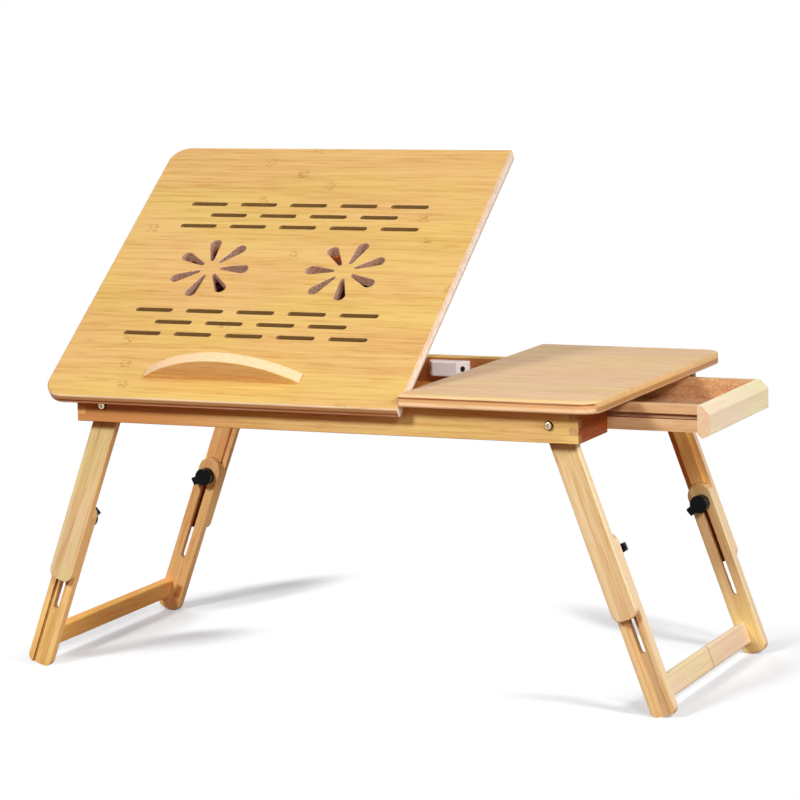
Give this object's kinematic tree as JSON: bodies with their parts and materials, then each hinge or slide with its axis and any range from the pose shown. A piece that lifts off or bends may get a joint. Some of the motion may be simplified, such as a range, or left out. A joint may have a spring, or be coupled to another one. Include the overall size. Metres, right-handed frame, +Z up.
{
  "type": "laptop stand with drawer",
  "caption": "Folding bamboo laptop table: tilting vented panel with cooling fans and a ledge, fixed side board with a drawer under it, telescopic splayed legs.",
  "frame": {"origin": "on the floor, under the middle of the whole part as it stands in use, panel tilted and drawer part open", "axes": "+X from the tilting panel towards the drawer end, +Y from front to back, +Z up"},
  "size_m": [0.6736, 0.3526, 0.4806],
  "materials": {
    "bamboo": "laminated bamboo strips under clear satin lacquer",
    "steel": "zinc plated",
    "hub_white": "white moulded plastic, smooth",
    "dark_plastic": "black moulded plastic",
    "knob_black": "black moulded plastic, polished",
    "fan_red": "translucent red-orange moulded plastic"
  },
  "bodies": {
    "frame": {"front_rail": "bamboo", "rear_rail": "bamboo", "left_end_rail": "bamboo", "right_end_front_board": "bamboo", "right_end_rear_board": "bamboo", "middle_rail": "bamboo", "front_drawer_guide": "bamboo", "rear_drawer_guide": "bamboo", "drawer_runners": "bamboo", "fixed_side_board": "bamboo", "side_board_dowels": "bamboo", "tilt_rail": "bamboo", "fan_hub_case": "hub_white", "fan_hub_jacks": "dark_plastic", "hinge_frame_leaves": "steel", "hinge_pins": "steel", "hinge_frame_screws": "steel", "leg_pivot_bolts": "steel", "leg_pivot_nuts": "steel", "leg_pivot_spacers": "dark_plastic"},
    "panel": {"tilting_panel": "bamboo", "laptop_ledge": "bamboo", "ledge_screws": "steel", "hinge_panel_leaves": "steel", "hinge_panel_screws": "steel", "left_fan_frame": "fan_red", "right_fan_frame": "fan_red", "fan_screws": "steel", "prop_block": "bamboo", "prop_pin": "steel", "prop_block_screws": "steel"},
    "left_fan": {"left_fan_impeller": "dark_plastic"},
    "right_fan": {"right_fan_impeller": "dark_plastic"},
    "prop": {"prop_left_arm": "bamboo", "prop_right_arm": "bamboo", "prop_stretcher": "bamboo", "prop_bar": "bamboo"},
    "drawer": {"drawer_front": "bamboo", "drawer_front_side": "bamboo", "drawer_rear_side": "bamboo", "drawer_back": "bamboo", "drawer_floor": "bamboo"},
    "left_upper_legs": {"front_left_upper_leg": "bamboo", "rear_left_upper_leg": "bamboo", "left_clamp_bolts": "steel", "left_clamp_washers": "steel"},
    "left_lower_legs": {"front_left_lower_leg": "bamboo", "rear_left_lower_leg": "bamboo", "left_crossbar": "bamboo"},
    "right_upper_legs": {"front_right_upper_leg": "bamboo", "rear_right_upper_leg": "bamboo", "right_clamp_bolts": "steel", "right_clamp_washers": "steel"},
    "right_lower_legs": {"front_right_lower_leg": "bamboo", "rear_right_lower_leg": "bamboo", "right_crossbar": "bamboo"},
    "front_left_knob": {"front_left_knob": "knob_black"},
    "rear_left_knob": {"rear_left_knob": "knob_black"},
    "front_right_knob": {"front_right_knob": "knob_black"},
    "rear_right_knob": {"rear_right_knob": "knob_black"}
  },
  "joints": [
    {"name": "panel_tilt", "type": "hinge", "parent": "frame", "child": "panel", "pos_m": [-0.10708, -0.1563, 0.27318], "axis": [1, 0, 0], "range_deg": [-36.75, 8]},
    {"name": "prop_swing", "type": "hinge", "parent": "panel", "child": "prop", "pos_m": [-0.10708, -0.04075, 0.34574], "axis": [1, 0, 0], "range_deg": [-16, 73.5]},
    {"name": "drawer_slide", "type": "slide", "parent": "frame", "child": "drawer", "axis": [1, 0, 0], "range_m": [-0.0955, 0.028]},
    {"name": "left_leg_fold", "type": "hinge", "parent": "frame", "child": "left_upper_legs", "pos_m": [-0.23197, 0.0013, 0.26013], "axis": [0, -1, 0], "range_deg": [0, 99.3]},
    {"name": "right_leg_fold", "type": "hinge", "parent": "frame", "child": "right_upper_legs", "pos_m": [0.21401, 0.0013, 0.26013], "axis": [0, 1, 0], "range_deg": [0, 99.3]},
    {"name": "left_leg_slide", "type": "slide", "parent": "left_upper_legs", "child": "left_lower_legs", "axis": [0.3469, 0, 0.9379], "range_m": [0, 0.0905]},
    {"name": "right_leg_slide", "type": "slide", "parent": "right_upper_legs", "child": "right_lower_legs", "axis": [-0.3469, 0, 0.9379], "range_m": [0, 0.0905]},
    {"name": "front_left_knob_turn", "type": "hinge", "parent": "left_upper_legs", "child": "front_left_knob", "pos_m": [-0.27502, -0.1175, 0.14374], "axis": [0, 1, 0], "range_deg": [0, 180]},
    {"name": "rear_left_knob_turn", "type": "hinge", "parent": "left_upper_legs", "child": "rear_left_knob", "pos_m": [-0.27502, 0.1201, 0.14374], "axis": [0, -1, 0], "range_deg": [0, 180]},
    {"name": "front_right_knob_turn", "type": "hinge", "parent": "right_upper_legs", "child": "front_right_knob", "pos_m": [0.25706, -0.1175, 0.14374], "axis": [0, 1, 0], "range_deg": [0, 180]},
    {"name": "rear_right_knob_turn", "type": "hinge", "parent": "right_upper_legs", "child": "rear_right_knob", "pos_m": [0.25706, 0.1201, 0.14374], "axis": [0, -1, 0], "range_deg": [0, 180]},
    {"name": "left_fan_spin", "type": "hinge", "parent": "panel", "child": "left_fan", "pos_m": [-0.17738, -0.02575, 0.36275], "axis": [0, -0.5983, 0.8013], "continuous": true},
    {"name": "right_fan_spin", "type": "hinge", "parent": "panel", "child": "right_fan", "pos_m": [-0.03678, -0.02575, 0.36275], "axis": [0, -0.5983, 0.8013], "continuous": true}
  ],
  "couplings": [
    {"joint": "prop_swing", "follows": "panel_tilt", "ratio": -2}
  ]
}
